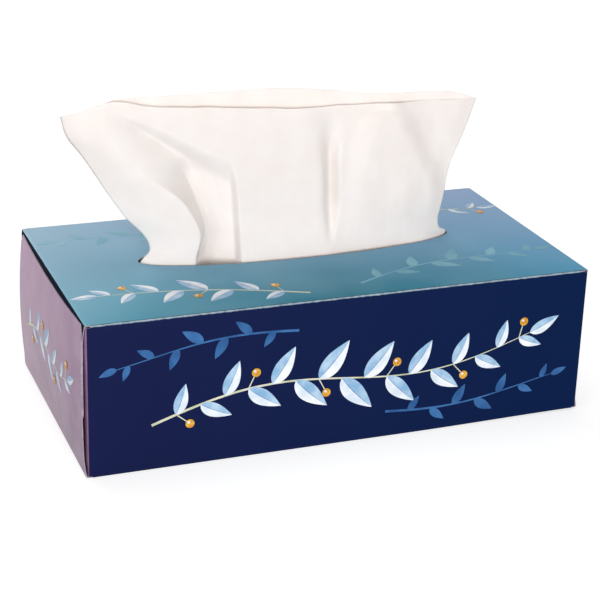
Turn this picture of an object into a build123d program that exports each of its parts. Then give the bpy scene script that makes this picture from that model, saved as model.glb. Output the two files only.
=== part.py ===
from build123d import *

import os
from math import cos, pi, radians, sin, sqrt

# Carton: one blank of folding boxboard, millimetres
LENGTH = 220.0            # over the dust flaps at both ends
DEPTH = 118.0             # front to back
HEIGHT = 66.0
BOARD = 0.45              # thickness of the board
FOLD_INSIDE = 0.4         # inside radius of a scored fold
GLUE_FLAP = 15.0          # lap inside the back panel, up from the bottom fold
GLUE_FLAP_SHORT = 4.0     # how far the lap stops short of each end
BACK_EDGE_GAP = 0.2       # raw lower edge of the back panel above the bottom fold
DUST_FLAP = 48.0          # reach of the front and back flaps across an end
DUST_TAPER = 5.0          # each corner cut off a dust flap's free edge
INNER_FLAP = 42.0         # reach of the flap that comes down from the top
OUTER_FLAP_SHORT = 2.5    # free edge of the flap from the bottom, below the top face
END_FLAP_INSET = 4.0      # side edges of both flaps, in from the front and back faces
END_FLAP_TAPER = 7.0      # height over which the side edges draw in from the fold
END_FLAP_CORNER = 3.0     # corner radius at a free edge
CORNER_GAP = 0.4          # opening beside a flap at each corner, past the next panel's fold
END_BOW = 2.0             # how far the glued ends stand out at half height
FLAP_PLAY = 0.1           # between the dust flaps and the flap over them

# Oval slot in the top panel
SLOT_LENGTH = 144.0
SLOT_WIDTH = 31.0
SLOT_SETBACK = 3.5        # centre of the slot behind the middle of the top

# Block of interfolded tissues
STACK_END_PLAY = 9.5      # block to the inside of the dust flaps
STACK_SIDE_PLAY = 8.5     # block to the front and back panels
HEADSPACE = 9.0           # block to the underside of the top panel
STACK_ROUND = 6.0         # soft folded edges along the block

# Tissue pulled up through the slot
PLY = 0.3                 # each of its two plies
PLY_SEAM = 0.1            # between the plies where they lie together
SHEET_FORWARD = 3.5       # middle line of the sheet in front of the slot's centre
RISE = 72.0               # highest edge above the top panel
PLEAT_PLAY = 4.0          # full pleat to the slot's front edge
WAIST = 0.95              # draw-in just above the slot, share of the width at the slot
PARTING = 8.0             # gap between the plies at the middle of the top edge
PARTING_FROM = 0.5        # share of the rise where they begin to part
PARTING_EDGE = 4.0        # plies stay together this far in from the side edges
TOP_SLOPE = 14.0          # front ply's edge lies lower by this slope, degrees

# Fold lines of the tissue, left to right.
# Place along the slot as a share of its half length, then how far the line leans
# sideways by half height and by the top, then its depth at the slot, at half height
# and at the top as shares of a full pleat (minus is towards the front).
FOLDS = [
    (-0.97, -14, -35, 0.40, 0.60, 0.40),
    (-0.78, -11, -36, -0.10, -1.05, -0.60),
    (-0.65, -2, -28, 0.55, 0.75, 0.40),
    (-0.54, -1, -16, 0.10, 0.10, -0.15),
    (-0.44, 0, -8, 0.55, 0.60, 0.10),
    (-0.36, 1, -2, -0.70, -0.75, -0.50),
    (-0.15, 1, -3, -0.80, -0.80, -0.50),
    (0.06, 2, -2, -0.70, -0.70, -0.45),
    (0.145, 0, 0, 0.55, 0.40, 0.05),
    (0.23, 1, 4, -0.55, -0.55, -0.40),
    (0.38, 0, 1, -0.75, -0.75, -0.50),
    (0.54, -2, -4, -0.70, -0.80, -0.60),
    (0.81, 0, -1, -0.10, 0.25, 0.45),
    (0.96, -1, 11, 0.40, 0.00, -0.25),
]

# Top edge of the tissue: place along the slot as a share of its half length, and
# how far the edge lies below the highest point
TOP_EDGE = [
    (-1.75, 16),
    (-1.46, 6),
    (-1.15, 0.5),
    (-0.6, 0),
    (-0.1, 1),
    (0.5, 5),
    (0.85, 5.5),
    (1.15, 9),
    (1.4, 14),
]

# Heights at which the tissue is drawn, as shares of its rise, and straight runs
# that round off each slope between two neighbouring folds
LEVELS = [0, 0.08, 0.22, 0.36, 0.5, 0.66, 0.83, 1.04]
RUNS = 3

fold_middle = FOLD_INSIDE + BOARD / 2
fold_outside = FOLD_INSIDE + BOARD
fold_reach = BOARD / 2 + fold_outside
flap_gap = fold_reach + CORNER_GAP
wrap_half = LENGTH / 2 - 2 * fold_outside
bow_radius = ((HEIGHT / 2) ** 2 + END_BOW**2) / (2 * END_BOW)
stack_top = HEIGHT - BOARD - HEADSPACE
sheet_y = SLOT_SETBACK - SHEET_FORWARD
slot_half = SLOT_LENGTH / 2
pleat = SLOT_WIDTH / 2 - SHEET_FORWARD - PLEAT_PLAY


def strip(points, radii):
    """Section of the board along a folded middle line."""
    return trace(FilletPolyline(*points, radius=radii), BOARD)


def sleeve():
    """Glue flap, bottom, front, top and back in one wrap, with the slot cut out."""
    low = BOARD / 2
    high = HEIGHT - BOARD / 2
    front = -DEPTH / 2 + BOARD / 2
    back = DEPTH / 2 - BOARD / 2
    lap = back - BOARD
    wrap_line = [(lap, fold_reach), (lap, low), (front, low)]
    wrap_line += [(front, high), (back, high), (back, fold_reach + BACK_EDGE_GAP)]
    wrap = extrude(Plane.YZ * strip(wrap_line, fold_middle), wrap_half, both=True)
    lap_length = 2 * (wrap_half - GLUE_FLAP_SHORT)
    lap_height = GLUE_FLAP - fold_reach
    glue_flap = Pos(0, lap, fold_reach + lap_height / 2) * Box(lap_length, BOARD, lap_height)
    slot = Pos(0, SLOT_SETBACK, HEIGHT) * Ellipse(slot_half, SLOT_WIDTH / 2)
    return wrap + glue_flap - extrude(slot, -2 * BOARD)


def dust_flap():
    """Front flap of the right end, folded in across the end."""
    middle = LENGTH / 2 - BOARD / 2
    front = -DEPTH / 2 + BOARD / 2
    free = -DEPTH / 2 + DUST_FLAP
    plan = strip([(wrap_half, front), (middle, front), (middle, free)], fold_middle)
    flap = Pos(0, 0, flap_gap) * extrude(plan, HEIGHT - 2 * flap_gap)
    corners = flap.edges().filter_by(Axis.X).group_by(Axis.Y)[-1]
    return chamfer(corners, DUST_TAPER)


def bowed_flap(layer, fold, free):
    """One end flap over the dust flaps of the right end, bowed out, from its fold to its free edge."""
    radius = bow_radius + layer
    centre = LENGTH / 2 + FLAP_PLAY + END_BOW - bow_radius
    line = []
    for height in (fold, (fold + free) / 2, free):
        line.append((centre + sqrt(radius**2 - (height - HEIGHT / 2) ** 2), height))
    panel = Line((wrap_half, fold), line[0])
    bent = Wire([panel, ThreePointArc(*line)])
    corner = bent.vertices().sort_by_distance(panel @ 1)[0]
    bent = bent.fillet_2d(fold_middle, [corner])
    return extrude(Plane.XZ * trace(bent, BOARD), DEPTH / 2 - flap_gap, both=True)


def flap_outline(fold, taper, free):
    """Face-on shape of an end flap that draws in from its fold to its free edge."""
    wide = DEPTH / 2 - flap_gap
    narrow = DEPTH / 2 - END_FLAP_INSET
    half = [(wide, fold), (narrow, taper), (narrow, free)]
    other = [(-y, z) for y, z in reversed(half)]
    shape = Polygon(*half, *other, align=None)
    free_corners = shape.vertices().sort_by_distance((0, free))[:2]
    shape = fillet(free_corners, END_FLAP_CORNER)
    return extrude(Plane.YZ.offset(wrap_half) * shape, LENGTH / 2, dir=(1, 0, 0))


def end_flaps():
    """Inner flap from the top and outer flap from the bottom, glued face to face."""
    free = HEIGHT - INNER_FLAP
    inner = bowed_flap(BOARD / 2, HEIGHT - BOARD / 2, free)
    inner = inner & flap_outline(HEIGHT, HEIGHT - END_FLAP_TAPER, free)
    free = HEIGHT - OUTER_FLAP_SHORT
    outer = bowed_flap(3 * BOARD / 2, BOARD / 2, free)
    outer = outer & flap_outline(0, END_FLAP_TAPER, free)
    return inner + outer


def carton():
    """The folded blank with both ends closed."""
    front_dust = dust_flap()
    end = end_flaps() + front_dust + mirror(front_dust, about=Plane.XZ)
    return sleeve() + end + mirror(end, about=Plane.YZ)


def tissue_stack():
    """Block of interfolded tissues on the bottom panel."""
    depth = DEPTH - 2 * BOARD - 2 * STACK_SIDE_PLAY
    width = LENGTH - 2 * BOARD - 2 * STACK_END_PLAY
    height = stack_top - BOARD
    section = Pos(0, BOARD + height / 2) * RectangleRounded(depth, height, STACK_ROUND)
    return extrude(Plane.YZ * section, width / 2, both=True)


def through(base, middle, top, share):
    """Value at this share of the rise, on the curve through three given ones."""
    bend = 2 * (base + top - 2 * middle)
    return base + (top - base - bend) * share + bend * share * share


def fold_places(share):
    """Sideways place and depth of each fold line at this share of the rise."""
    share = max(0, share)
    places = []
    for along, lean_half, lean_top, at_slot, at_half, at_top in FOLDS:
        sideways = along * slot_half + through(0, lean_half, lean_top, share)
        depth = pleat * through(at_slot, at_half, at_top, share)
        places.append((sideways, depth))
    return places


def parting(number, share):
    """Gap between the plies at one fold line and height."""
    opened = max(0, (share - PARTING_FROM) / (1 - PARTING_FROM))
    return PARTING * opened * sin(pi * number / (len(FOLDS) - 1))


def waist(share):
    """Width just above the slot as a share of the width in it."""
    drawn_in = min(max(0, share / LEVELS[1]), 1, 1 - share)
    return 1 - (1 - WAIST) * max(0, drawn_in)


def upright(share, front, back, opening):
    """Outline of the sheet at one height, between two distances behind its front face."""
    height = HEIGHT + RISE * share
    near = []
    far = []
    for number, (sideways, depth) in enumerate(fold_places(share)):
        sideways *= waist(share)
        near_y = sheet_y + depth + front
        far_y = sheet_y + depth + back + opening * parting(number, share)
        near.append((sideways, near_y, height))
        far.append((sideways, far_y, height))
    return outline(near, far)


def softened(folds):
    """Points along one wavy line that eases from each fold to the next."""
    line = []
    for (x, y, z), (next_x, next_y, _) in zip(folds, folds[1:]):
        for run in range(RUNS):
            share = run / RUNS
            eased = (1 - cos(pi * share)) / 2
            line.append((x + (next_x - x) * share, y + (next_y - y) * eased, z))
    return line + [folds[-1]]


def outline(near, far):
    """Closed outline from a near and a far row of folds."""
    front = Polyline(*softened(near))
    back = Polyline(*softened(far))
    right = Line(near[-1], far[-1])
    left = Line(far[0], near[0])
    return Wire([*front.edges(), right, *back.edges(), left])


def above_top_edge():
    """Everything over the tissue's top edge, its lower side sloped up towards the back."""
    points = [(along * slot_half, HEIGHT + RISE - drop) for along, drop in TOP_EDGE]
    roof = HEIGHT + 2 * RISE
    edge = Spline(*[(x, 0, z) for x, z in points])
    sides = Polyline(
        edge @ 1, (points[-1][0], 0, roof), (points[0][0], 0, roof), edge @ 0
    )
    face = Face(Wire([edge, *sides.edges()]))
    slope = radians(TOP_SLOPE)
    backward = Vector(0, cos(slope), sin(slope))
    run = 4 * pleat
    return extrude(face, run, dir=backward) + extrude(face, run, dir=-backward)


def between_plies():
    """Hollow between the plies where they part."""
    shares = [share for share in LEVELS if share >= PARTING_FROM]
    gap = [upright(share, PLY, PLY + PLY_SEAM, 1) for share in shares]
    hollow = Solid.make_loft(gap, ruled=True)
    left = []
    right = []
    for share in shares:
        places = fold_places(share)
        z = HEIGHT + RISE * share
        left.append((places[0][0] * waist(share) + PARTING_EDGE, z))
        right.append((places[-1][0] * waist(share) - PARTING_EDGE, z))
    window = Plane.XZ * Polygon(*left, *reversed(right), align=None)
    return hollow & extrude(window, 4 * pleat, both=True)


def pulled_tissue():
    """Two-ply sheet gathered in the slot, its plies parted along the top edge."""
    foot = (stack_top - HEIGHT) / RISE
    levels = [foot, *LEVELS]
    sheet = [upright(share, 0, 2 * PLY + PLY_SEAM, 1) for share in levels]
    body = Solid.make_loft(sheet, ruled=True)
    return body - between_plies() - above_top_edge()


os.makedirs("parts", exist_ok=True)
export_step(carton(), "parts/carton.step")
export_step(tissue_stack(), "parts/tissue_stack.step")
export_step(pulled_tissue(), "parts/pulled_tissue.step")
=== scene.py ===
import bpy
from math import atan2, cos, exp, pi, radians, sin, sqrt
from mathutils import Matrix, Vector, noise


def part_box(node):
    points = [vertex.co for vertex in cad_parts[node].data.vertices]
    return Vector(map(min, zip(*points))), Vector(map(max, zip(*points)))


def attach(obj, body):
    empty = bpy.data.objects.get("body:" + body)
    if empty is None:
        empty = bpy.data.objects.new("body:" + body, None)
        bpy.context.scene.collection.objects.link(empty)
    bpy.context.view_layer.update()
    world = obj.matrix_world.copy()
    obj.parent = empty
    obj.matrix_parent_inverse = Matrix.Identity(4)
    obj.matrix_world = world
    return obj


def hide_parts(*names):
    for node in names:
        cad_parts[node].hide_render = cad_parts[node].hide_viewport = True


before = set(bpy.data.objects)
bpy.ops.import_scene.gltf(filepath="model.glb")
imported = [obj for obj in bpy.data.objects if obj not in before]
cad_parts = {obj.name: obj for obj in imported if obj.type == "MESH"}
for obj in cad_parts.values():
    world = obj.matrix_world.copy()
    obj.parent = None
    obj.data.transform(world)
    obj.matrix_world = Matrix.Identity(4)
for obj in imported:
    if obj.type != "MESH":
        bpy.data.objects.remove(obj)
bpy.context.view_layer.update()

# All sizes are in millimetres and become metres where a mesh, material, lamp or camera is made
MM = 0.001

# Carton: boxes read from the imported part, other sizes as in the part's source
carton_low, carton_high = [[value / MM for value in corner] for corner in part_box("carton")]
stack_low, stack_high = [[value / MM for value in corner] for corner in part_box("tissue_stack")]
FRONT = carton_low[1]
BACK = carton_high[1]
TOP = carton_high[2]
HALF_LENGTH = 110.0         # to the outside of the dust flaps
BOARD = 0.45                # thickness of the board
FOLD = 0.85                 # outside radius of a scored fold
PANEL_END = HALF_LENGTH - 2 * FOLD
DUST_FLAP = 48.0            # reach of the front and back flaps across an end
DUST_TAPER = 5.0            # each corner cut off a dust flap's free edge
INNER_FLAP = 42.0           # reach of the flap that comes down from the top
OUTER_FLAP_SHORT = 2.5      # free edge of the flap from the bottom, below the top face
FLAP_INSET = 4.0            # side edges of both flaps, in from the front and back faces
FLAP_TAPER = 7.0            # height over which the side edges draw in from the fold
GLUE_FLAP = 15.0            # top edge of the lap inside the back panel
BACK_PANEL_FOOT = 1.3       # raw lower edge of the back panel
END_BOW = 2.0               # how far the glued ends stand out at half height
FLAP_PLAY = 0.1             # between the dust flaps and the flap over them
INNER_LAYERS = 1            # board from the dust flaps to the outside of the inner flap
OUTER_LAYERS = 2            # and to the outside of the outer flap
SLOT_HALF_LENGTH = 72.0
SLOT_HALF_WIDTH = 15.5
SLOT_SETBACK = 3.5          # centre of the slot behind the middle of the top

# Slack of the board, drawn finer than the part's source has it
FLAP_GAP = 0.8              # opening beside a flap at each corner
FLAP_CORNER = 1.6           # corner radius at a free edge
FLAP_SAG = 0.4              # how much lower the outer flap's free edge hangs at its middle
FLAP_CORNER_RISE = 1.9      # corners of that edge above its middle
FLAP_DRAW = 0.75            # share of the bow that an end loses along the front
FLAP_DRAW_FROM = -25.0      # where that loss begins, as y
PANEL_SWELL = 0.35          # front and back panels at their middle
TOP_SWELL = 0.3             # top panel at its middle
SWELL_FROM = 0.96           # share of the half depth or the height past which a point swells with a panel
CORNER_LIFT = 0.8           # lower right corner of the front above the table
CORNER_LIFT_FROM = 30.0     # where along the length it begins to lift

# Worn folds of the board
WEAR_START = 0.4            # distance from a fold at which wear begins
WEAR_FULL = 0.04            # and at which it is full
WEAR_RAGGED = 0.64          # how far loose fibres carry it
WEAR_SHARE = 0.65           # ink gone where it is full
UPRIGHT_KEPT = 2.2          # upright folds wear less: their distance counts this many times

# Sizes of the patterns in the materials
FIBRE = 2.2                 # clumps of fibre under the print
RAW_FIBRE = 2.0             # fibres of unvarnished board
PANEL_WAVE = 28.0           # faint unevenness of a panel
TOP_WASH = 34.0             # soft wash of ink on the top
END_CLOUD = 18.0            # clouds of ink on the ends
CREPE = 1.1                 # crepe ridges of the tissue
TISSUE_CLOUD = 9.0          # thicker and thinner places of the tissue

# Printed plants: a film of ink, drawn thicker than real so that each coat stays clear of the one below
INK = 0.04
STEM_COAT, LEAF_COAT, BERRY_COAT, GLINT_COAT = range(1, 5)
STEM_ROOT = 1.1             # width of a stem at its root
STEM_TIP = 0.35             # and at its tip
LEAF_SLANT = radians(48)    # leaf to stem
LEAF_WIDTH = 0.42           # share of its length
LEAF_SWING = 0.12           # sideways curve, share of its length
LEAF_PEAK = 0.9             # where leaves are longest, in half lengths of the stem from its root
LEAF_FALL = 0.45            # share of its length that a leaf loses for each half length from there
LEAF_STEPS = 14             # rows of points along a leaf
LEAF_COLUMNS = (-1, -0.55, -0.03, 0.03, 0.55, 1)    # outline, halves and midrib
TIP_LEAF = 0.7              # length of the leaf at a stem's tip, share of the longest
TIP_LEAF_WIDTH = 0.28       # and its width
STALK = 7.5                 # length of a berry's stalk
STALK_SLANT = 1.0           # stalk to stem, radians
STALK_ROOT = 0.5            # width of a stalk at the stem
STALK_TIP = 0.4             # and at the berry
BERRY = 1.9                 # radius of a berry
BERRY_STEP = 6              # places along a stem from one berry to the next
GLINT = 0.55                # radius of the light spot on a berry
GLINT_OFFSET = (-0.5, 0.6)
SPOT_STEPS = 24             # sides of a round spot
POINT = 0.02                # half width left where a leaf or the middle of a spot ends in a point

# Tissue block
BLOCK_LAYERS = 44
BLOCK_CORNER = 6.0          # radius seen from above
BLOCK_INSET = 0.4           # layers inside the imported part's block
BLOCK_DRIFT = 0.25          # layers out of line
LAYER_RINGS = ((0.08, 0.996), (0.5, 1.0), (0.92, 0.996))    # height in a layer, and its spread there

# Pulled tissue: one sheet of two plies, with its outline as (x, z) seen from the front
PLY = 0.12
ACROSS = 300                # squares across a ply
UPWARD = 150                # and up it
FOOT = stack_high[2] + 0.1
EDGE_RIPPLE = 0.35          # unevenness of the top edges
LEFT_EDGE = [(-71, 56), (-71.2, 66), (-70.6, 67.6), (-67.3, 71.8), (-69.5, 78), (-77.2, 86.4), (-80.8, 91.7),
             (-85.5, 98.9), (-91.3, 108.5), (-95.8, 115.5), (-101.5, 123.6), (-103.8, 132)]
RIGHT_EDGE = [(71, 56), (71.2, 66), (70.4, 67.6), (66.2, 70), (64.6, 74), (64.7, 77.7), (66.8, 88.1),
              (68.8, 99.7), (72.3, 108.5), (75.8, 117.3), (79.7, 129)]
FRONT_TOP = [(-104, 131.5), (-94, 136), (-86.6, 138.8), (-78, 138.2), (-70.2, 136.2), (-56.9, 134.9),
             (-21.8, 132.1), (-1.9, 130.5), (19.2, 130.5), (44.2, 130), (72.8, 129.2), (80, 128.8)]
BACK_TOP = [(-104, 131.2), (-93.5, 135.7), (-83.7, 138.8), (-74.9, 139.4), (-47.5, 139.2), (-19.4, 139.5),
            (10.1, 137.2), (23.5, 135.1), (39.6, 133.7), (49, 133.8), (64.8, 133.1), (74.6, 130.9),
            (80, 128.8)]

# Lines of its folds, in the same way
WING_CREST = [(-50, 56), (-50, 68), (-47.5, 79), (-51, 88), (-57, 96), (-69.5, 106), (-79, 116), (-86, 125.6),
              (-87.5, 133), (-87, 140)]
DEEP_CREASE = [(-47, 56), (-46.7, 70.4), (-43.5, 79), (-46.2, 90.7), (-51.8, 103.7), (-61, 115.4),
               (-72.9, 127.2), (-82, 136)]
LEDGE = [(-90, 138), (-85.2, 135.8), (-70.7, 129.5), (-54, 121.1), (-44.2, 115.5), (-34.3, 111.1), (-28, 108)]
TUCK = [(-29.7, 56), (-29.7, 64.4), (-30.2, 82.4), (-30.9, 95), (-32.7, 109.5), (-34, 118)]
SMALL_PLEAT = [(-38.4, 56), (-38.5, 72.3), (-37.3, 82.4), (-38.7, 95.1), (-42.6, 107.8)]
NARROW_VALLEY = [(10.5, 56), (11.1, 71.6), (13.4, 89.5), (12.1, 115.1), (11.7, 125.1), (11.7, 140)]
ARCH_LEFT = [(20, 56), (20.5, 90), (21.5, 100.6), (25.9, 119.1), (29.5, 125), (36, 127.6), (38, 140)]
ARCH_RIGHT = [(63, 70), (62, 80), (59.7, 90.6), (55, 101.4), (49, 112), (43.1, 122.5), (38, 128)]

# Depths of its folds
SHEET_FRONT = -6.0          # front of the sheet near the slot, as y
OPENING = 1.6               # how much farther back the front ply lies at the top
WING_ROLL = 9.0             # left edge behind the wing's crest
WING_CURL = 1.1             # curl near the wing's tip
WING_CURL_X = -93.5
WING_CURL_WIDTH = 3.4
RECESS_FLOOR = 11.0         # recess at its deepest
RECESS_RISE = 0.55          # share of that depth lost from the crease to the tuck
RECESS_CURVE = 0.0155       # fall from the wing's crest, for each square of a millimetre from it
RECESS_SLOPE = 1.3          # steepest fall under the ledge, and from the crest lower down
RECESS_LEAST = 0.01         # keeps the falls above nothing, for their smooth minimum
RECESS_SHARPNESS = 6        # of that minimum
LEDGE_ROUND = 3.0           # softness of the ledge over the recess
CREASE_DEPTH = 1.3          # crease in the floor of the recess
CREASE_WIDTH = 1.4
PLEAT_HEIGHT = 2.2          # small pleat beside it
PLEAT_WIDTH = 3.6
VALLEY_DEPTH = 5.6          # narrow valley right of the middle
VALLEY_STEP = 0.8           # sheet right of it, behind the sheet left of it
ARCH_HEIGHT = 2.4           # arched panel on the right
SHOULDER_DEPTH = 1.5        # groove at the arch's shoulder
SHOULDER_WIDTH = 8.0
SHOULDER_X = 57.0           # its place at SHOULDER_Z
SHOULDER_Z = 120.0
SHOULDER_LEAN = 0.4         # how far it goes right for each millimetre down
RIGHT_FALL = 2.0            # right end of the sheet falls back
RIGHT_CURL = 0.8            # and so does its edge
SLOT_PLAY = 2.6             # folds to the slot's front edge where they crowd
SLOT_DEPTH_USED = 0.55      # share of the slot's back half that they may fill
LEAN_PLAY = 1.3             # sheet to the slot's front edge at full lean
LEAN = 0.75                 # share of the full lean that it takes
PLY_GAP = 0.3               # plies apart at the side edges
PLY_CLEAR = 0.15            # least that is added to it inside them
PLY_PILLOW = 0.8            # what is mostly added there
PLY_PARTING = 2.0           # and what is added to both at the middle of the top
FOLLOW = 0.85               # how far the back ply follows the front one's folds at the slot
FOLLOW_LOSS = 0.45          # and how much less at the top
FOLLOW_MIDDLE = -4.0        # depth about which it flattens them, as y

# Stage
FLOOR_HALF = 4000
FLOOR_GLOW = (0.66, 1.0)            # floor as the camera sees it, near and far
FLOOR_GLOW_FROM = (400, 1600)       # distances from the middle for these
SKY_LIGHT = 0.33
LAMP_AIM = (0, 0, 80)
VIEW_TURN = radians(-21.08)
VIEW_RISE = radians(21.83)
VIEW_ROLL = radians(1.77)
CAMERA_PLACE = (-250.1, -650.8, 321.2)
LENS = 101.9
SENSOR = 36


# Shared helpers
def linear(code):
    """An sRGB hex colour as the linear RGBA that a shader takes."""
    channels = [int(code[i:i + 2], 16) / 255 for i in (1, 3, 5)]
    return [c / 12.92 if c <= 0.04045 else ((c + 0.055) / 1.055) ** 2.4 for c in channels] + [1.0]


def add(tree, kind, inputs=None, **settings):
    """Adds a node with its settings, and sets or links its inputs. Returns its outputs."""
    made = tree.nodes.new(kind)
    for name, value in settings.items():
        setattr(made, name, value)
    for key, value in (inputs or {}).items():
        if isinstance(value, bpy.types.NodeSocket):
            tree.links.new(value, made.inputs[key])
        else:
            made.inputs[key].default_value = value
    return made.outputs


def new_material(name):
    """An empty material and its node tree, with the output node in place."""
    material = bpy.data.materials.new(name)
    material.use_nodes = True
    tree = material.node_tree
    tree.nodes.clear()
    output = tree.nodes.new("ShaderNodeOutputMaterial")
    return material, tree, output


def new_piece(name, points, faces, materials):
    """A mesh piece from points in millimetres, riding on the one body."""
    mesh = bpy.data.meshes.new(name)
    mesh.from_pydata([[c * MM for c in p] for p in points], [], faces)
    mesh.validate()
    for material in materials:
        mesh.materials.append(material)
    for face in mesh.polygons:
        face.use_smooth = True
    piece = bpy.data.objects.new(name, mesh)
    bpy.context.scene.collection.objects.link(piece)
    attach(piece, "root")
    return piece


def spread(a, b, count):
    """Evenly spaced values from a to b."""
    return [a + (b - a) * k / (count - 1) for k in range(count)]


def ease(start, end, value):
    """0 up to start, 1 past end, and a smooth S between them. The end may lie below the start."""
    t = min(1.0, max(0.0, (value - start) / (end - start)))
    return t * t * (3 - 2 * t)


def bell(distance, width):
    """1 at no distance, falling off smoothly to both sides."""
    return exp(-(distance / width) ** 2)


def ripple(x, z, height, across, up, seed):
    """Smooth unevenness of a sheet, with swells of the given sizes across and up it."""
    return height * noise.noise(Vector((x / across, seed, z / up)))


def along(line, value, by=1):
    """The other coordinate of a smooth line through (x, z) points where coordinate number by has that value.
    The points are in rising order of that coordinate."""
    other = 1 - by
    if value <= line[0][by]:
        return line[0][other]
    for k in range(len(line) - 1):
        a, b = line[k], line[k + 1]
        if value > b[by]:
            continue
        before = line[max(k - 1, 0)]
        after = line[min(k + 2, len(line) - 1)]
        span = b[by] - a[by]
        t = (value - a[by]) / span
        leave = span * (b[other] - before[other]) / (b[by] - before[by])
        arrive = span * (after[other] - a[other]) / (after[by] - a[by])
        rest = 1 - t
        return (a[other] * rest * rest * (1 + 2 * t) + b[other] * t * t * (3 - 2 * t)
                + leave * t * rest * rest - arrive * t * t * rest)
    return line[-1][other]


# Materials. In a colour Mix node these sockets are its two colours and its result
MIX_FROM, MIX_TO, MIXED = 6, 7, 2


def printed_board(name, ink, ior, roughness):
    """Folding boxboard, offset printed and varnished: flat ink under a thin clear film that whitens at a
    grazing angle, with bare fibre showing where a fold has cracked. ink adds its own nodes to the tree."""
    material, tree, output = new_material(name)
    place = add(tree, "ShaderNodeTexCoord")["Object"]
    px, py, pz = add(tree, "ShaderNodeSeparateXYZ", {0: place})
    # Worn folds: distance from the nearest top or upright fold, made ragged by the board's fibres
    y_out = add(tree, "ShaderNodeMath", {0: py}, operation="ABSOLUTE")[0]
    y_in = add(tree, "ShaderNodeMath", {0: BACK * MM, 1: y_out}, operation="SUBTRACT")[0]
    x_out = add(tree, "ShaderNodeMath", {0: px}, operation="ABSOLUTE")[0]
    x_in = add(tree, "ShaderNodeMath", {0: HALF_LENGTH * MM, 1: x_out}, operation="SUBTRACT")[0]
    z_in = add(tree, "ShaderNodeMath", {0: TOP * MM, 1: pz}, operation="SUBTRACT")[0]
    to_top = add(tree, "ShaderNodeCombineXYZ", {0: y_in, 1: z_in})[0]
    from_top = add(tree, "ShaderNodeVectorMath", {0: to_top}, operation="LENGTH")["Value"]
    to_upright = add(tree, "ShaderNodeCombineXYZ", {0: y_in, 1: x_in})[0]
    from_upright = add(tree, "ShaderNodeVectorMath", {0: to_upright}, operation="LENGTH")["Value"]
    from_upright = add(tree, "ShaderNodeMath", {0: from_upright, 1: UPRIGHT_KEPT}, operation="MULTIPLY")[0]
    near_fold = add(tree, "ShaderNodeMath", {0: from_top, 1: from_upright}, operation="MINIMUM")[0]
    fibres = add(tree, "ShaderNodeTexNoise", {"Vector": place, "Scale": 1 / (FIBRE * MM), "Detail": 4.0})[0]
    ragged = add(tree, "ShaderNodeMath", {0: fibres, 1: -WEAR_RAGGED * MM, 2: near_fold},
                 operation="MULTIPLY_ADD")[0]
    worn = add(tree, "ShaderNodeMapRange", {"Value": ragged, "From Min": WEAR_START * MM,
                                            "From Max": WEAR_FULL * MM, "To Max": WEAR_SHARE})[0]
    colour = add(tree, "ShaderNodeMix", {0: worn, MIX_FROM: ink(tree, place), MIX_TO: linear("#BCD3DC")},
                 data_type="RGBA")[MIXED]
    # Fibre under the film varies the gloss a little, and wear dulls it
    dulled = add(tree, "ShaderNodeMath", {0: worn, 1: 0.5, 2: roughness}, operation="MULTIPLY_ADD")[0]
    gloss = add(tree, "ShaderNodeMath", {0: fibres, 1: 0.08, 2: dulled}, operation="MULTIPLY_ADD")[0]
    # Board is never quite flat: a faint wave bends its reflections
    wave_height = add(tree, "ShaderNodeTexNoise", {"Vector": place, "Scale": 1 / (PANEL_WAVE * MM),
                                                   "Detail": 1.0})[0]
    bump = add(tree, "ShaderNodeBump", {"Height": wave_height, "Strength": 0.3, "Distance": 0.5 * MM})[0]
    shader = add(tree, "ShaderNodeBsdfPrincipled", {"Base Color": colour, "Roughness": gloss,
                                                    "IOR": ior, "Normal": bump})[0]
    tree.links.new(shader, output.inputs[0])
    return material


def navy_ink(tree, place):
    """Deep navy, a trace more violet at the left and bluer to the right."""
    px = add(tree, "ShaderNodeSeparateXYZ", {0: place})["X"]
    lengthwise = add(tree, "ShaderNodeMapRange", {"Value": px, "From Min": -HALF_LENGTH * MM,
                                                  "From Max": HALF_LENGTH * MM})[0]
    return add(tree, "ShaderNodeMix", {0: lengthwise, MIX_FROM: linear("#141B43"), MIX_TO: linear("#051C44")},
               data_type="RGBA")[MIXED]


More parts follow.
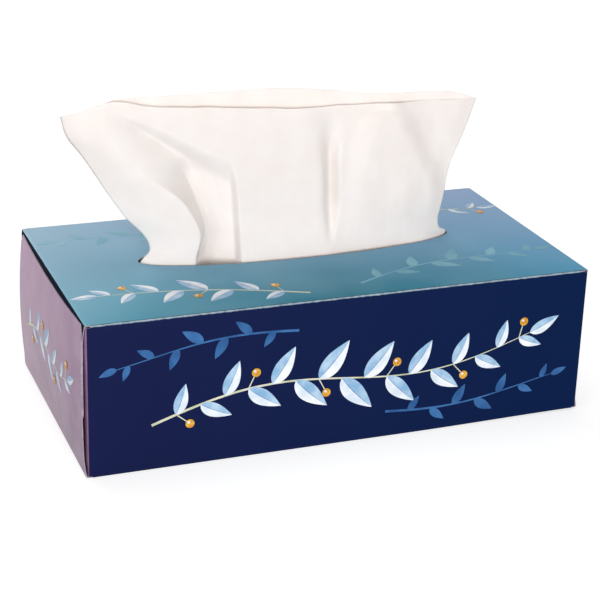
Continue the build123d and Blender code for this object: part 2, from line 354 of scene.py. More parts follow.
def top_ink(tree, place):
    """Teal along the front, paler at the left and slate blue towards the back right, with a soft wash. The
    paler back row is partly painted sheen of the grazing light on the top.
    """
    px, py, pz = add(tree, "ShaderNodeSeparateXYZ", {0: place})
    lengthwise = add(tree, "ShaderNodeMapRange", {"Value": px, "From Min": -HALF_LENGTH * MM,
                                                  "From Max": HALF_LENGTH * MM})[0]
    back_sheen_share = add(tree, "ShaderNodeMapRange", {"Value": py, "From Min": FRONT * MM,
                                                 "From Max": BACK * MM})[0]
    front_ends = add(tree, "ShaderNodeMix", {0: lengthwise, MIX_FROM: linear("#62A8BE"),
                                             MIX_TO: linear("#4C9ABF")}, data_type="RGBA")[MIXED]
    from_middle = add(tree, "ShaderNodeMath", {0: lengthwise, 1: 0.5}, operation="SUBTRACT")[0]
    from_middle = add(tree, "ShaderNodeMath", {0: from_middle}, operation="ABSOLUTE")[0]
    towards_end = add(tree, "ShaderNodeMath", {0: from_middle, 1: 2.0}, operation="MULTIPLY")[0]
    front_row = add(tree, "ShaderNodeMix", {0: towards_end, MIX_FROM: linear("#1B7A91"), MIX_TO: front_ends},
                    data_type="RGBA")[MIXED]
    # The back row is lighter partly as painted sheen: the glare that grazing light gives the far side of the
    # top
    back_row_with_painted_sheen = add(tree, "ShaderNodeMix", {0: lengthwise, MIX_FROM: linear("#98BBD2"),
                                           MIX_TO: linear("#9DB6DA")}, data_type="RGBA")[MIXED]
    colour = add(tree, "ShaderNodeMix", {0: back_sheen_share, MIX_FROM: front_row, MIX_TO: back_row_with_painted_sheen},
                 data_type="RGBA")[MIXED]
    wash = add(tree, "ShaderNodeTexNoise", {"Vector": place, "Scale": 1 / (TOP_WASH * MM), "Detail": 1.0})[0]
    share = add(tree, "ShaderNodeMapRange", {"Value": wash, "From Min": 0.4, "From Max": 0.7,
                                             "To Max": 0.14})[0]
    return add(tree, "ShaderNodeMix", {0: share, MIX_FROM: colour, MIX_TO: linear("#9CC4D6")},
               data_type="RGBA")[MIXED]


def end_ink(tree, place):
    """Plum on the end flaps, in soft clouds. It is lighter towards the top and the back as painted sheen of
    the glare on the ends.
    """
    px, py, pz = add(tree, "ShaderNodeSeparateXYZ", {0: place})
    # Painted light: lighter towards the top, where the glare falls on the ends
    rise = add(tree, "ShaderNodeMapRange", {"Value": pz, "From Max": TOP * MM})[0]
    colour = add(tree, "ShaderNodeMix", {0: rise, MIX_FROM: linear("#4C2250"), MIX_TO: linear("#8A5686")},
                 data_type="RGBA")[MIXED]
    # Painted sheen: lighter towards the back
    back_sheen_share = add(tree, "ShaderNodeMapRange", {"Value": py, "From Min": FRONT * MM, "From Max": BACK * MM,
                                                 "To Max": 0.45})[0]
    colour = add(tree, "ShaderNodeMix", {0: back_sheen_share, MIX_FROM: colour, MIX_TO: linear("#C096B2")},
                 data_type="RGBA")[MIXED]
    cloud = add(tree, "ShaderNodeTexNoise", {"Vector": place, "Scale": 1 / (END_CLOUD * MM),
                                             "Detail": 3.0})[0]
    share = add(tree, "ShaderNodeMapRange", {"Value": cloud, "From Min": 0.35, "From Max": 0.7,
                                             "To Max": 0.4})[0]
    return add(tree, "ShaderNodeMix", {0: share, MIX_FROM: colour, MIX_TO: linear("#B48CAE")},
               data_type="RGBA")[MIXED]


def raw_board(name, pale, dark):
    """Unvarnished boxboard: dull, flecked with short fibres."""
    material, tree, output = new_material(name)
    place = add(tree, "ShaderNodeTexCoord")["Object"]
    fibres = add(tree, "ShaderNodeTexNoise", {"Vector": place, "Scale": 1 / (RAW_FIBRE * MM),
                                              "Detail": 4.0})[0]
    fleck = add(tree, "ShaderNodeMapRange", {"Value": fibres, "From Min": 0.3, "From Max": 0.7})[0]
    colour = add(tree, "ShaderNodeMix", {0: fleck, MIX_FROM: linear(dark), MIX_TO: linear(pale)},
                 data_type="RGBA")[MIXED]
    shader = add(tree, "ShaderNodeBsdfPrincipled", {"Base Color": colour, "Roughness": 0.85,
                                                    "Specular IOR Level": 0.04})[0]
    tree.links.new(shader, output.inputs[0])
    return material


def ink_field(name, pale, deep, across):
    """Offset ink over the print: a field of colour that deepens in patches, under the same dull film."""
    material, tree, output = new_material(name)
    place = add(tree, "ShaderNodeTexCoord")["Object"]
    patches = add(tree, "ShaderNodeTexNoise", {"Vector": place, "Scale": 1 / (across * MM), "Detail": 2.0})[0]
    share = add(tree, "ShaderNodeMapRange", {"Value": patches, "From Min": 0.35, "From Max": 0.65})[0]
    colour = add(tree, "ShaderNodeMix", {0: share, MIX_FROM: linear(pale), MIX_TO: linear(deep)},
                 data_type="RGBA")[MIXED]
    shader = add(tree, "ShaderNodeBsdfPrincipled", {"Base Color": colour, "Roughness": 0.4, "IOR": 1.2})[0]
    tree.links.new(shader, output.inputs[0])
    return material


def creped_tissue():
    """Creped two-ply tissue: soft, quite without gloss, lets some light through, with fine crepe ridges
    that run across the sheet. The real ones are 0.4 mm apart and are drawn coarser so that they show."""
    material, tree, output = new_material("creped_tissue_paper")
    place = add(tree, "ShaderNodeTexCoord")["Object"]
    stretched = add(tree, "ShaderNodeMapping", {"Vector": place, "Scale": (0.22, 0.6, 1.0)})[0]
    crepe = add(tree, "ShaderNodeTexNoise", {"Vector": stretched, "Scale": 1 / (CREPE * MM),
                                             "Detail": 3.0})[0]
    cloud = add(tree, "ShaderNodeTexNoise", {"Vector": place, "Scale": 1 / (TISSUE_CLOUD * MM),
                                             "Detail": 2.0})[0]
    share = add(tree, "ShaderNodeMapRange", {"Value": cloud, "From Min": 0.3, "From Max": 0.7})[0]
    colour = add(tree, "ShaderNodeMix", {0: share, MIX_FROM: linear("#FCF6F2"), MIX_TO: linear("#FAF2EE")},
                 data_type="RGBA")[MIXED]
    bump = add(tree, "ShaderNodeBump", {"Height": crepe, "Strength": 0.12, "Distance": 0.2 * MM})[0]
    sheet = add(tree, "ShaderNodeBsdfPrincipled", {"Base Color": colour, "Roughness": 0.9, "IOR": 1.4,
                                                   "Specular IOR Level": 0.15, "Normal": bump})[0]
    through = add(tree, "ShaderNodeBsdfTranslucent", {"Color": colour, "Normal": bump})[0]
    shader = add(tree, "ShaderNodeMixShader", {0: 0.2, 1: sheet, 2: through})[0]
    tree.links.new(shader, output.inputs[0])
    return material


# Carton: the folded blank, each panel and flap a sheet of board with an outside, an inside and cut edges
NAVY, TEAL, PLUM, PAINTED_SHADE_INNER_FLAP, INSIDE, CUT = range(6)
board_materials = [
    printed_board("navy_print_dull_varnish", navy_ink, 1.12, 0.34),
    printed_board("teal_print_dull_varnish", top_ink, 1.12, 0.34),
    printed_board("plum_print_gloss_varnish", end_ink, 1.42, 0.3),
    # Inner flap: navy, left dull and darker than the print as painted shade of the gap over the outer flap's
    # free edge
    raw_board("unvarnished_navy_painted_shade", "#090C22", "#050716"),
    raw_board("grey_back_boxboard", "#CFCAC0", "#B9B3A8"),
    raw_board("cut_boxboard_edge", "#B3A8B4", "#8F8492"),
]
carton_points = []
carton_faces = []
carton_inks = []

# Points along the runs of its sheets, and shares of the way from the slot to the edge of the top
PANEL_COLUMNS = 56
FRONT_ROWS = 16
BOTTOM_ROWS = 14
BACK_ROWS = 14
FLAP_COLUMNS = 26
FLAP_ROWS = 22
DUST_ROWS = 16
DUST_COLUMNS = 12
SLOT_STEPS = 240
SLOT_RINGS = (0, 0.03, 0.1, 0.2, 0.32, 0.45, 0.6, 0.75, 0.88, 1.0)
FOLD_STEPS = 6
HALF_FOLD = 1 + FOLD_STEPS // 2
SHARP_EDGE = radians(35)


def settle(x, y, z):
    """Slack in the real carton: panels bulge slightly, and the front lower right corner is off the table."""
    across = max(0.0, 1 - (x / HALF_LENGTH) ** 2)
    upright = max(0.0, 1 - (2 * z / TOP - 1) ** 2)
    deep = max(0.0, 1 - (y / BACK) ** 2)
    facing = ease(SWELL_FROM, 1.0, abs(y) / BACK)
    crown = ease(SWELL_FROM, 1.0, z / TOP)
    outward = PANEL_SWELL if y > 0 else -PANEL_SWELL
    lift = CORNER_LIFT * ease(CORNER_LIFT_FROM, HALF_LENGTH, x) * ease(0, FRONT, y) * (1 - z / TOP)
    return x, y + outward * facing * across * upright, z + TOP_SWELL * crown * across * deep + lift


def add_sheet(rows, inks):
    """Adds a closed sheet of board from a grid of points on its outside; it thickens towards the inside.
    inks has the ink of each row of squares, and its last one goes on to the end."""
    tall = len(rows)
    wide = len(rows[0])
    middle = Vector((0, 0, TOP / 2))
    first = len(carton_points)
    inner = []
    for i in range(tall):
        for j in range(wide):
            here = Vector(rows[i][j])
            run = Vector(rows[min(i + 1, tall - 1)][j]) - Vector(rows[max(i - 1, 0)][j])
            cross = Vector(rows[i][min(j + 1, wide - 1)]) - Vector(rows[i][max(j - 1, 0)])
            inward = run.cross(cross).normalized()
            if inward.dot(middle - here) < 0:
                inward = -inward
            carton_points.append(settle(*here))
            inner.append(settle(*(here + BOARD * inward)))
    carton_points.extend(inner)
    under = first + tall * wide
    for i in range(tall - 1):
        for j in range(wide - 1):
            a = i * wide + j
            square = (a, a + 1, a + 1 + wide, a + wide)
            carton_faces.append([first + k for k in square])
            carton_inks.append(inks[min(i, len(inks) - 1)])
            carton_faces.append([under + k for k in reversed(square)])
            carton_inks.append(INSIDE)
    last_row = (tall - 1) * wide
    border = list(range(wide))
    border += [i * wide + wide - 1 for i in range(1, tall)]
    border += [last_row + j for j in range(wide - 2, -1, -1)]
    border += [i * wide for i in range(tall - 2, 0, -1)]
    for a, b in zip(border, border[1:] + border[:1]):
        carton_faces.append([first + b, first + a, under + a, under + b])
        carton_inks.append(CUT)


def bend(corner, before, after):
    """Points round a scored fold, from the line through before to the line through after."""
    corner, before, after = Vector(corner), Vector(before), Vector(after)
    start = corner + FOLD * (before - corner).normalized()
    end = corner + FOLD * (after - corner).normalized()
    hub = start + end - corner
    points = []
    for k in range(FOLD_STEPS + 1):
        turn = pi / 2 * k / FOLD_STEPS
        points.append(hub + cos(turn) * (start - hub) + sin(turn) * (end - hub))
    return [tuple(p) for p in points]


def wrap_panels():
    """Front, bottom and glue flap in one strip, and the back panel, between the top's two long folds."""
    lap = BACK - BOARD
    strip = bend((FRONT, TOP), (0, TOP), (FRONT, 0))
    strip += [(FRONT, z) for z in spread(TOP - FOLD, FOLD, FRONT_ROWS)[1:-1]]
    strip += bend((FRONT, 0), (FRONT, TOP), (0, 0))
    strip += [(y, 0) for y in spread(FRONT + FOLD, lap - FOLD, BOTTOM_ROWS)[1:-1]]
    strip += bend((lap, 0), (0, 0), (lap, TOP)) + [(lap, GLUE_FLAP)]
    back = bend((BACK, TOP), (0, TOP), (BACK, 0))
    back += [(BACK, z) for z in spread(TOP - FOLD, BACK_PANEL_FOOT, BACK_ROWS)[1:]]
    stations = spread(-PANEL_END, PANEL_END, PANEL_COLUMNS)
    for line in (strip, back):
        add_sheet([[(x, y, z) for x in stations] for y, z in line], [NAVY])


def top_panel():
    """The top as a ring of board between the slot's cut edge and the panel's outline."""
    rings = []
    half_depth = BACK - FOLD
    for share in SLOT_RINGS:
        ring = []
        for k in range(SLOT_STEPS + 1):
            turn = 2 * pi * k / SLOT_STEPS + pi / 4
            edge_x = max(-1.0, min(1.0, sqrt(2) * cos(turn))) * PANEL_END
            edge_y = max(-1.0, min(1.0, sqrt(2) * sin(turn))) * half_depth
            slot_x = SLOT_HALF_LENGTH * cos(turn)
            slot_y = SLOT_SETBACK + SLOT_HALF_WIDTH * sin(turn)
            ring.append((slot_x + (edge_x - slot_x) * share, slot_y + (edge_y - slot_y) * share, TOP))
        rings.append(ring)
    add_sheet(rings, [TEAL])


def flap_stand(layers, y, z):
    """How far out the outside of an end flap lies: it bows in the middle and is drawn in along the front."""
    bow = END_BOW * (1 - (2 * z / TOP - 1) ** 2)
    return HALF_LENGTH + FLAP_PLAY + layers * BOARD + bow * (1 - FLAP_DRAW * ease(FLAP_DRAW_FROM, FRONT, y))


def flap_half_width(run):
    """Half the width of an end flap at a distance from its fold."""
    return BACK - FLAP_GAP - (FLAP_INSET - FLAP_GAP) * min(1.0, run / FLAP_TAPER)


def end_flap(side, layers, fold, free, corner_rise, panel_ink, ink):
    """A glued end flap that narrows from its fold and has rounded free corners, which stand corner_rise
    above the middle of its free edge. Its panel's ink ends half way round the fold."""
    inward = 1 if fold < free else -1
    fold_x = flap_stand(layers, 0, fold)
    line = [(PANEL_END, fold)] + bend((fold_x, fold), (0, fold), (fold_x, free))
    rows = []
    for x, z in line:
        half = flap_half_width(abs(z - fold))
        rows.append([(side * x, y, z) for y in spread(-half, half, FLAP_COLUMNS)])
    for level in spread(fold + 2 * inward * FOLD, free, FLAP_ROWS):
        run = abs(level - fold)
        left = abs(free - level)
        half = flap_half_width(run)
        if left < FLAP_CORNER:
            half += sqrt(FLAP_CORNER ** 2 - (FLAP_CORNER - left) ** 2) - FLAP_CORNER
        row = []
        for y in spread(-half, half, FLAP_COLUMNS):
            z = level + corner_rise * (y / half) ** 2 * (run / abs(free - fold)) ** 4
            row.append((side * flap_stand(layers, y, z), y, z))
        rows.append(row)
    add_sheet(rows, [panel_ink] * HALF_FOLD + [ink])


def dust_flap(side, face):
    """A flap folded in from the front or back panel, behind the glued ends."""
    line = [(PANEL_END, face * BACK)]
    line += bend((HALF_LENGTH, face * BACK), (0, face * BACK), (HALF_LENGTH, 0))
    line += [(HALF_LENGTH, face * y) for y in spread(BACK - 2 * FOLD, BACK - DUST_FLAP, DUST_ROWS)]
    rows = []
    for x, y in line:
        cut = max(0.0, DUST_TAPER - abs(y - face * BACK + face * DUST_FLAP))
        rows.append([(side * x, y, z) for z in spread(FLAP_GAP + cut, TOP - FLAP_GAP - cut, DUST_COLUMNS)])
    add_sheet(rows, [NAVY] * HALF_FOLD + [PLUM])


wrap_panels()
top_panel()
for side in (-1, 1):
    dust_flap(side, -1)
    dust_flap(side, 1)
    # The inner flap's dark strip above the outer flap is painted shade
    end_flap(side, INNER_LAYERS, TOP, TOP - INNER_FLAP, 0, TEAL, PAINTED_SHADE_INNER_FLAP)
    outer_edge = TOP - OUTER_FLAP_SHORT - FLAP_SAG
    end_flap(side, OUTER_LAYERS, 0, outer_edge, FLAP_CORNER_RISE, NAVY, PLUM)
carton = new_piece("folded_carton", carton_points, carton_faces, board_materials)
for face, ink in zip(carton.data.polygons, carton_inks):
    face.material_index = ink
    face.use_smooth = ink != CUT
carton.data.set_sharp_from_angle(angle=SHARP_EDGE)
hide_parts("carton")

# Print: leafy branches in white, pale blue and gold, and plain sprigs in a tone near the ground's
WHITE, SKY, STEM, GOLD, DEEP, TONE = range(6)
print_materials = [
    ink_field("white_leaf_ink", "#F1F4F8", "#D5E1EE", 6),
    ink_field("pale_blue_leaf_ink", "#B5D0E6", "#86AFD3", 6),
    ink_field("cream_stem_ink", "#DCD9C4", "#B9BE9C", 8),
    ink_field("gold_berry_ink", "#E2B24A", "#C98A2B", 2),
    ink_field("mid_blue_ink", "#3E6FA6", "#2C568C", 8),
    ink_field("light_teal_ink", "#7FB5C6", "#6CA5BA", 14),
]


class Print:
    """Flat shapes of ink on one panel. place turns panel coordinates and a height over it into a point."""

    def __init__(self, place):
        self.place = place
        self.points = []
        self.faces = []
        self.inks = []

    def patch(self, rows, inks, coat):
        """A grid of ink; inks gives the ink of each column of squares. Higher coats lie over lower ones."""
        first = len(self.points)
        wide = len(rows[0])
        for row in rows:
            self.points += [self.place(a, b, coat * INK) for a, b in row]
        for i in range(len(rows) - 1):
            for j in range(wide - 1):
                a = first + i * wide + j
                self.faces.append((a, a + 1, a + 1 + wide, a + wide))
                self.inks.append(inks[j])

    def leaf(self, a, b, turn, length, width, inks):
        """A pointed leaf, fullest nearer its root, whose two halves differ, curved a little to one side."""
        rows = []
        for k in range(LEAF_STEPS + 1):
            t = k / LEAF_STEPS
            half = width / 2 * sin(pi * t ** 0.75) ** 0.9 if 0 < k < LEAF_STEPS else POINT
            row = []
            for across in LEAF_COLUMNS:
                u = length * t
                v = LEAF_SWING * length * t * t + half * across
                row.append((a + u * cos(turn) - v * sin(turn), b + u * sin(turn) + v * cos(turn)))
            rows.append(row)
        self.patch(rows, [inks[0], inks[0], inks[2], inks[1], inks[1]], LEAF_COAT)

    def stem(self, line, start, end, ink):
        """A line of ink that thins from start to end."""
        rows = []
        for k, (a, b) in enumerate(line):
            before = line[max(k - 1, 0)]
            after = line[min(k + 1, len(line) - 1)]
            turn = atan2(after[1] - before[1], after[0] - before[0])
            half = (start + (end - start) * k / (len(line) - 1)) / 2
            u, v = half * sin(turn), half * cos(turn)
            rows.append([(a + u, b - v), (a - u, b + v)])
        self.patch(rows, [ink], STEM_COAT)

    def spot(self, a, b, radius, ink, coat):
        """A round spot."""
        rows = []
        for k in range(SPOT_STEPS + 1):
            turn = 2 * pi * k / SPOT_STEPS
            rows.append([(a + size * cos(turn), b + size * sin(turn)) for size in (POINT, radius)])
        self.patch(rows, [ink], coat)

    def berry(self, a, b, heading):
        """A berry with a glint, on a stalk that leaves the stem in the given direction."""
        tip = (a + STALK * cos(heading), b + STALK * sin(heading))
        self.stem([(a, b), tip], STALK_ROOT, STALK_TIP, STEM)
        self.spot(*tip, BERRY, GOLD, BERRY_COAT)
        self.spot(tip[0] + GLINT_OFFSET[0], tip[1] + GLINT_OFFSET[1], GLINT, WHITE, GLINT_COAT)

    def branch(self, line, leaf_length, inks, berries):
        """A stem with leaves in turn on both sides, longest near its middle, and some berries."""
        self.stem(line, STEM_ROOT, STEM_TIP, STEM if berries else inks[0])
        count = len(line)
        for k in range(2, count - 1, 2):
            a, b = line[k]
            heading = atan2(line[k + 1][1] - line[k - 1][1], line[k + 1][0] - line[k - 1][0])
            side = 1 if (k // 2) % 2 else -1
            size = leaf_length * (1.0 - LEAF_FALL * abs(2 * k / count - LEAF_PEAK))
            self.leaf(a, b, heading + side * LEAF_SLANT, size, LEAF_WIDTH * size, inks)
            if berries and k % BERRY_STEP == 2:
                self.berry(a, b, heading - side * STALK_SLANT)
        end = line[-1]
        heading = atan2(end[1] - line[-2][1], end[0] - line[-2][0])
        self.leaf(*end, heading, TIP_LEAF * leaf_length, TIP_LEAF_WIDTH * leaf_length, inks)

    def finish(self, name):
        """Makes the piece, with the ink's thickness."""
        piece = new_piece(name, self.points, self.faces, print_materials)
        for face, ink in zip(piece.data.polygons, self.inks):
            face.material_index = ink
            face.use_smooth = False
        film = piece.modifiers.new("ink film", "SOLIDIFY")
        film.thickness = INK * MM
        film.offset = 1.0


def wave(start, end, rise, turns, count):
    """A gently waving line between two places on a panel."""
    line = []
    for k in range(count):
        t = k / (count - 1)
        line.append((start[0] + (end[0] - start[0]) * t,
                     start[1] + (end[1] - start[1]) * t + rise * sin(2 * pi * turns * t)))
    return line


front_print = Print(lambda a, b, lift: settle(a, FRONT - lift, b))
back_print = Print(lambda a, b, lift: settle(-a, BACK + lift, b))
for panel in (front_print, back_print):
    panel.branch(wave((-84, 20), (84, 40), 6, 1.0, 34), 21, (WHITE, SKY, DEEP), True)
    panel.branch(wave((18, 12), (96, 17), -3, 0.6, 16), 11, (DEEP, DEEP, DEEP), False)
    panel.branch(wave((-22, 54), (-98, 48), 3, 0.6, 16), 11, (DEEP, DEEP, DEEP), False)
front_print.finish("front_print")
back_print.finish("back_print")

left_print = Print(lambda a, b, lift: settle(-flap_stand(OUTER_LAYERS, -a, b) - lift, -a, b))
right_print = Print(lambda a, b, lift: settle(flap_stand(OUTER_LAYERS, a, b) + lift, a, b))
for panel in (left_print, right_print):
    panel.branch(wave((-42, 27), (36, 36), 4, 0.9, 22), 14, (WHITE, SKY, DEEP), True)
left_print.finish("left_end_print")
right_print.finish("right_end_print")

top_print = Print(lambda a, b, lift: settle(a, b, TOP + lift))
top_print.branch(wave((-14, -50), (-98, -30), 5, 0.5, 18), 17, (WHITE, SKY, DEEP), True)
top_print.branch(wave((30, 49), (100, 30), -4, 0.5, 16), 15, (WHITE, SKY, DEEP), True)
top_print.branch(wave((10, -46), (100, -24), 5, 0.7, 20), 14, (TONE, TONE, TONE), False)
top_print.branch(wave((-30, 46), (-100, 34), -4, 0.7, 16), 13, (TONE, TONE, TONE), False)
top_print.finish("top_print")

# Tissue block
tissue = creped_tissue()


def tissue_block():
    """The interfolded block: thin rounded layers that don't quite line up."""
    half_x = stack_high[0] - BLOCK_INSET - BLOCK_CORNER
    half_y = stack_high[1] - BLOCK_INSET - BLOCK_CORNER
    height = stack_high[2] - stack_low[2]
    rim = []
    for cx, cy, start in ((1, 1, 0), (-1, 1, 90), (-1, -1, 180), (1, -1, 270)):
        for turn in spread(radians(start), radians(start + 90), 7):
            rim.append((cx * half_x + BLOCK_CORNER * cos(turn), cy * half_y + BLOCK_CORNER * sin(turn)))
    count = len(rim)
    points = []
    for layer in range(BLOCK_LAYERS):
        drift = ripple(0.0, layer * 0.37, BLOCK_DRIFT, 1, 1, 5.1)
        for rise, draw in LAYER_RINGS:
            z = stack_low[2] + height * (layer + rise) / BLOCK_LAYERS
            points += [(x * draw + drift, y * draw + drift, z) for x, y in rim]
    rings = BLOCK_LAYERS * len(LAYER_RINGS)
    faces = []
    for ring in range(rings - 1):
        for k in range(count):
            a = ring * count + k
            b = ring * count + (k + 1) % count
            faces.append((a, b, b + count, a + count))
    faces.append(tuple(reversed(range(count))))
    faces.append(tuple(range((rings - 1) * count, rings * count)))
    return new_piece("interfolded_tissue_block", points, faces, [tissue])


block = tissue_block()
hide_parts("tissue_stack")


# Pulled tissue: how far back each of its folds puts it, at a place seen from the front
def wing(x, z):
    """The wing on the left rolls back from its rounded crest to the edge, with a curl near its tip."""
    crest = along(WING_CREST, z)
    if x >= crest:
        return 0.0
    share = (crest - x) / max(1.0, crest - along(LEFT_EDGE, z))
    return WING_ROLL * share ** 1.7 + WING_CURL * bell(x - WING_CURL_X, WING_CURL_WIDTH) * ease(118, 131, z)


def recess(x, z):
    """The recess right of the wing. It falls ever more steeply from the crest to a cleft under the soft
    ledge, and has a flatter floor lower down, with a crease and a small pleat, up to the tuck."""
    crease = along(DEEP_CREASE, z)
    tuck = along(TUCK, z)
    below = along(LEDGE, x, by=0) - z
    right_of = max(0.0, x - along(WING_CREST, z))
    from_wing = RECESS_LEAST + RECESS_CURVE * right_of ** 2 + RECESS_SLOPE * ease(112, 88, z) * right_of
    rounded = sqrt(max(0.0, below) ** 2 + LEDGE_ROUND ** 2) - LEDGE_ROUND
    falls = (from_wing, RECESS_LEAST + RECESS_SLOPE * rounded, RECESS_FLOOR)
    depth = sum(fall ** -RECESS_SHARPNESS for fall in falls) ** (-1 / RECESS_SHARPNESS)
    depth += CREASE_DEPTH * exp(-abs(x - crease) / CREASE_WIDTH) * ease(0, 8, below) * ease(110, 100, z)
    depth -= PLEAT_HEIGHT * bell(x - along(SMALL_PLEAT, z), PLEAT_WIDTH) * ease(74, 84, z) * ease(110, 95, z)
    return depth * ease(-0.4, 1.6, tuck - x) * (1 - RECESS_RISE * ease(crease, tuck, x))


def narrow_valley(x, z):
    """The narrow valley right of the middle, pointed below and fading out broad above."""
    right_of = x - along(NARROW_VALLEY, z)
    if right_of < 0:
        width = 2.2 + 1.6 * ease(70, 92, z) + 3.0 * ease(102, 130, z)
    else:
        width = 1.5 + 3.5 * ease(102, 130, z)
    strength = ease(68, 92, z) * (1 - 0.7 * ease(100, 130, z))
    return VALLEY_DEPTH * strength * bell(right_of, width) + VALLEY_STEP * ease(0, 8, right_of)


def right_side(x, z, opened):
    """The arched panel on the right, the groove at its shoulder and the fall towards the right edge."""
    arch = ease(-5, 6, x - along(ARCH_LEFT, z)) * ease(-9, 3, along(ARCH_RIGHT, z) - x) * ease(70, 90, z)
    shoulder = bell(x - SHOULDER_X - SHOULDER_LEAN * (SHOULDER_Z - z), SHOULDER_WIDTH) * ease(98, 118, z)
    fall = ease(46, 62, x) * (1 - 0.6 * opened)
    curl = ease(9.0, 0.0, along(RIGHT_EDGE, z) - x)
    return RIGHT_FALL * fall + RIGHT_CURL * curl + SHOULDER_DEPTH * shoulder - ARCH_HEIGHT * arch


def crowd_into_slot(x, z, depth):
    """Below, the folds crowd together inside the slot and lean towards its front edge."""
    half_width = SLOT_HALF_WIDTH * sqrt(max(0.02, 1 - (x / SLOT_HALF_LENGTH) ** 2))
    slot_front = SLOT_SETBACK - half_width
    low = slot_front + SLOT_PLAY
    high = max(SLOT_SETBACK + SLOT_DEPTH_USED * half_width, low + 0.5)
    squeezed = min(max(depth, low), high)
    crowded = squeezed + (depth - squeezed) * ease(66, 84, z)
    return crowded + LEAN * (slot_front + LEAN_PLAY - max(SHEET_FRONT, low)) * ease(88, 66, z)


def front_depth(x, z):
    """How far back the front ply lies. Here and in its folds, the pairs of values given to ease are heights,
    places across the sheet or distances from a fold's line, between which a fold comes or goes."""
    opened = ease(70, 128, z)
    folds = wing(x, z) + recess(x, z) + narrow_valley(x, z) + right_side(x, z, opened)
    depth = crowd_into_slot(x, z, SHEET_FRONT + OPENING * opened + folds)
    # Small slack ripples, longer up the sheet than across it
    return depth + ripple(x, z, 0.3, 9, 26, 3.3) + ripple(x, z, 0.06, 3.4, 12, 8.7)


def back_depth(x, z, front, share):
    """How far back the back ply lies: it keeps close at the slot and the side edges, parts from the front ply
    towards the top, and follows its folds less there."""
    opened = ease(72, 134, z)
    inside = sin(pi * min(1.0, max(0.0, share)))
    off_edge = min(1.0, 6 * inside)
    apart = PLY_GAP + PLY_PILLOW * off_edge + PLY_PARTING * opened * inside ** 0.7
    follow = FOLLOW - FOLLOW_LOSS * opened
    depth = FOLLOW_MIDDLE + follow * (front - FOLLOW_MIDDLE) + apart + ripple(x, z, 0.7, 11, 30, 14.2)
    return max(depth, front + PLY_GAP + PLY_CLEAR * off_edge)


def ply(name, top_line, front_side):
    """One ply as a fine grid between the sheet's side edges, from the block up to its cut top edge."""
    (left_x, left_top), (right_x, right_top) = LEFT_EDGE[-1], RIGHT_EDGE[-1]
    points = []
    for v in spread(0, 1, UPWARD + 1):
        left = along(LEFT_EDGE, FOOT + (left_top - FOOT) * v)
        right = along(RIGHT_EDGE, FOOT + (right_top - FOOT) * v)
        for u in spread(0, 1, ACROSS + 1):
            top_x = left_x + (right_x - left_x) * u
            crown = along(top_line, top_x, by=0) + ripple(top_x, 0.0, EDGE_RIPPLE, 9, 1, 1.7)
            x = left + (right - left) * u
            z = FOOT + (crown - FOOT) * v
            y = front_depth(x, z)
            if not front_side:
                y = back_depth(x, z, y, u)
            points.append((x, y, z))
    wide = ACROSS + 1
    faces = []
    for row in range(UPWARD):
        for column in range(ACROSS):
            a = row * wide + column
            faces.append((a, a + 1, a + 1 + wide, a + wide))
    piece = new_piece(name, points, faces, [tissue])
    thick = piece.modifiers.new("paper thickness", "SOLIDIFY")
    thick.thickness = PLY * MM
    thick.offset = 0.0
    return piece


front_ply = ply("pulled_tissue_front_ply", FRONT_TOP, True)
back_ply = ply("pulled_tissue_back_ply", BACK_TOP, False)
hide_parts("pulled_tissue")


# Floor, light and camera
def seen_rays(tree):
    """1 for rays from the camera, a reflection or glass, and 0 for those that only carry light."""
    ray = add(tree, "ShaderNodeLightPath")
    seen = add(tree, "ShaderNodeMath", {0: ray["Is Camera Ray"], 1: ray["Is Glossy Ray"]},
               operation="MAXIMUM")[0]
    return add(tree, "ShaderNodeMath", {0: seen, 1: ray["Is Transmission Ray"]}, operation="MAXIMUM")[0]


def studio_paper():
    """White background paper: dull, with a glow on seen rays alone that takes it to white far away."""
    material, tree, output = new_material("white_studio_paper")
    place = add(tree, "ShaderNodeTexCoord")["Object"]
    away = add(tree, "ShaderNodeVectorMath", {0: place}, operation="LENGTH")["Value"]
    level = add(tree, "ShaderNodeMapRange", {
        "Value": away, "From Min": FLOOR_GLOW_FROM[0] * MM, "From Max": FLOOR_GLOW_FROM[1] * MM,
        "To Min": FLOOR_GLOW[0], "To Max": FLOOR_GLOW[1]})[0]
    strength = add(tree, "ShaderNodeMath", {0: seen_rays(tree), 1: level}, operation="MULTIPLY")[0]
    paper = add(tree, "ShaderNodeBsdfDiffuse", {"Color": linear("#C9C9C9")})[0]
    glow = add(tree, "ShaderNodeEmission", {"Color": linear("#FFFFFF"), "Strength": strength})[0]
    both = add(tree, "ShaderNodeAddShader", {0: paper, 1: glow})[0]
    tree.links.new(both, output.inputs[0])
    return material


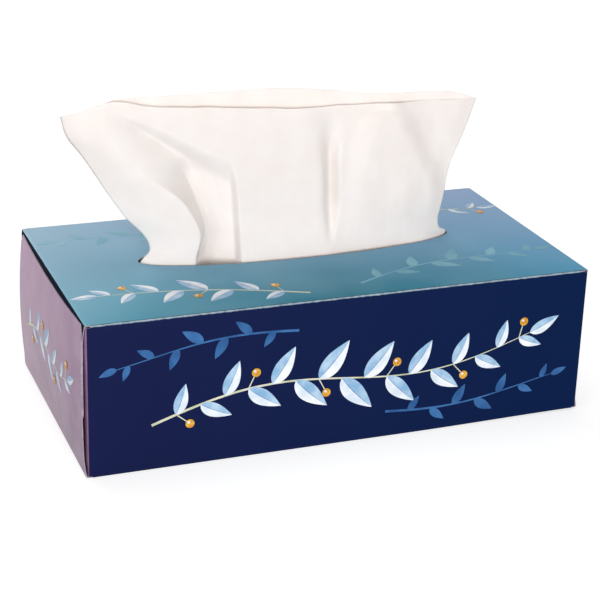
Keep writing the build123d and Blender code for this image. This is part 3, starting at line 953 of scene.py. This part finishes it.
floor_mesh = bpy.data.meshes.new("floor")
floor_corners = [(-1, -1), (1, -1), (1, 1), (-1, 1)]
floor_points = [(x * FLOOR_HALF * MM, y * FLOOR_HALF * MM, 0.0) for x, y in floor_corners]
floor_mesh.from_pydata(floor_points, [], [(0, 1, 2, 3)])
floor_mesh.materials.append(studio_paper())
floor = bpy.data.objects.new("floor", floor_mesh)
bpy.context.scene.collection.objects.link(floor)

world = bpy.data.worlds.new("studio")
world.use_nodes = True
bpy.context.scene.world = world
world_tree = world.node_tree
world_tree.nodes.clear()
sky_level = add(world_tree, "ShaderNodeMapRange", {"Value": seen_rays(world_tree), "To Min": SKY_LIGHT})[0]
sky = add(world_tree, "ShaderNodeBackground", {"Color": linear("#FFFFFF"), "Strength": sky_level})[0]
add(world_tree, "ShaderNodeOutputWorld", {"Surface": sky})


def soft_lamp(name, place, size, watts):
    """A square soft box that looks at the object."""
    lamp = bpy.data.lights.new(name, "AREA")
    lamp.size = size * MM
    lamp.energy = watts
    holder = bpy.data.objects.new(name, lamp)
    holder.location = [c * MM for c in place]
    aim = Vector(LAMP_AIM) - Vector(place)
    holder.rotation_euler = aim.to_track_quat("-Z", "Y").to_euler()
    bpy.context.scene.collection.objects.link(holder)


soft_lamp("left", (-1150, -800, 350), 500, 5.0)
soft_lamp("front", (-150, -1450, 300), 500, 13.4)
soft_lamp("above", (0, 100, 1500), 700, 2.8)
soft_lamp("behind", (-250, 1300, 650), 900, 8.2)

backward = Vector((sin(VIEW_TURN) * cos(VIEW_RISE), -cos(VIEW_TURN) * cos(VIEW_RISE), sin(VIEW_RISE)))
level = Vector((cos(VIEW_TURN), sin(VIEW_TURN), 0))
upright = backward.cross(level)
right = cos(VIEW_ROLL) * level + sin(VIEW_ROLL) * upright
up = -sin(VIEW_ROLL) * level + cos(VIEW_ROLL) * upright
camera_data = bpy.data.cameras.new("camera")
camera_data.sensor_width = SENSOR
camera_data.lens = LENS
camera = bpy.data.objects.new("camera", camera_data)
camera_turn = Matrix((right, up, backward)).transposed().to_4x4()
camera.matrix_world = Matrix.Translation([c * MM for c in CAMERA_PLACE]) @ camera_turn
bpy.context.scene.collection.objects.link(camera)
bpy.context.scene.camera = camera
bpy.context.scene.view_settings.view_transform = "Standard"
